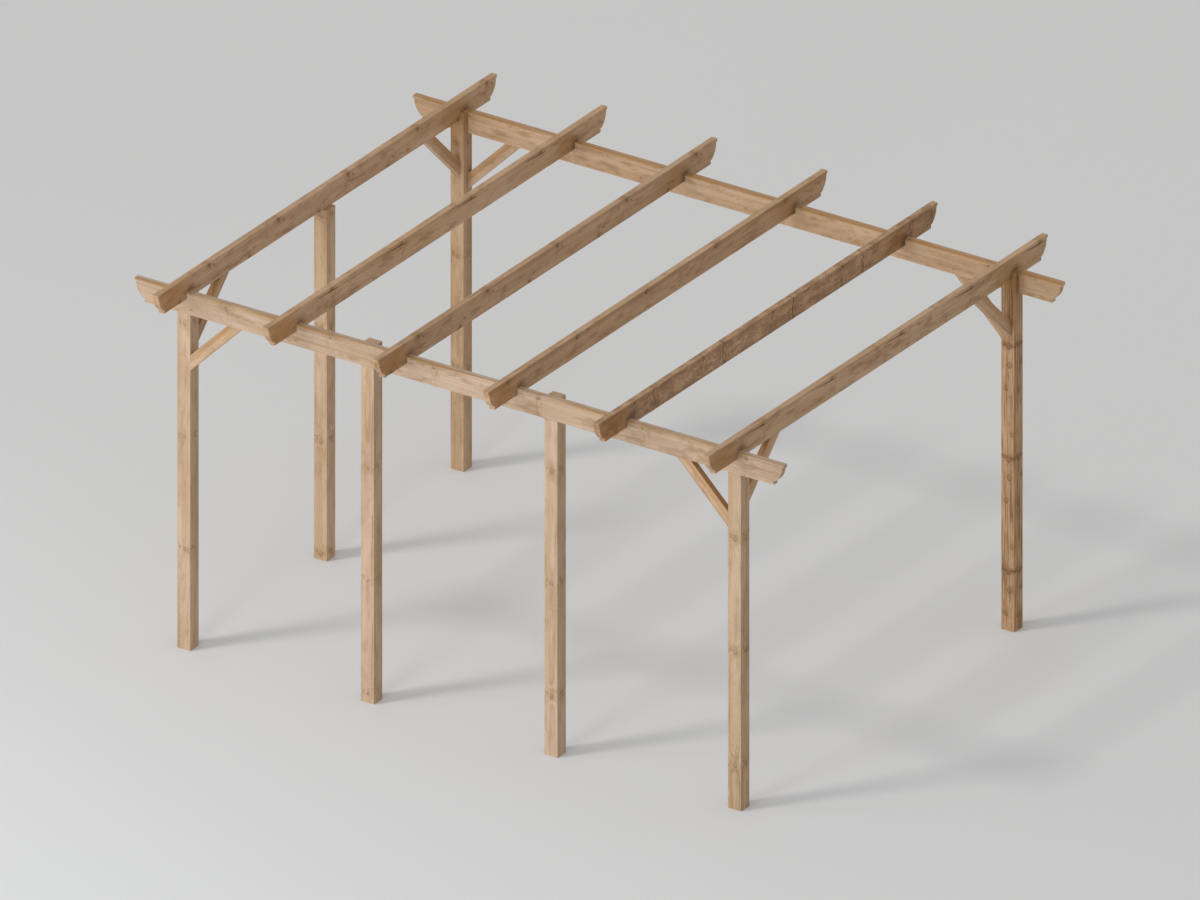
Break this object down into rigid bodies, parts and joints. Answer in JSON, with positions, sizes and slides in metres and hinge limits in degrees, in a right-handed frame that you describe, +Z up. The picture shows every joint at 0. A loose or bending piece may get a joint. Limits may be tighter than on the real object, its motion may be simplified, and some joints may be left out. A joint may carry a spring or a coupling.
{
  "type": "timber pergola",
  "caption": "Open timber pergola: posts, two beams, notched rafters with shaped tails and diagonal knee braces, no roof covering or side screens.",
  "frame": {"origin": "on the ground under the middle of the frame's outline", "axes": "+X to the right along the front beam, +Y to the back along the rafters, +Z up"},
  "size_m": [4.5, 3.53, 2.39],
  "materials": {
    "pine": "planed, unpainted"
  },
  "bodies": {
    "root": {"post_front_left": "pine", "post_front_mid_left": "pine", "post_front_mid_right": "pine", "post_front_right": "pine", "post_back_left": "pine", "post_back_right": "pine", "post_left_side": "pine", "front_beam": "pine", "back_beam": "pine", "rafter_1": "pine", "rafter_2": "pine", "rafter_3": "pine", "rafter_4": "pine", "rafter_5": "pine", "rafter_6": "pine", "brace_front_left_beam": "pine", "brace_front_left_rafter": "pine", "brace_front_right_beam": "pine", "brace_front_right_rafter": "pine", "brace_back_left_beam": "pine", "brace_back_left_rafter": "pine", "brace_back_right_beam": "pine", "brace_back_right_rafter": "pine"}
  },
  "joints": []
}
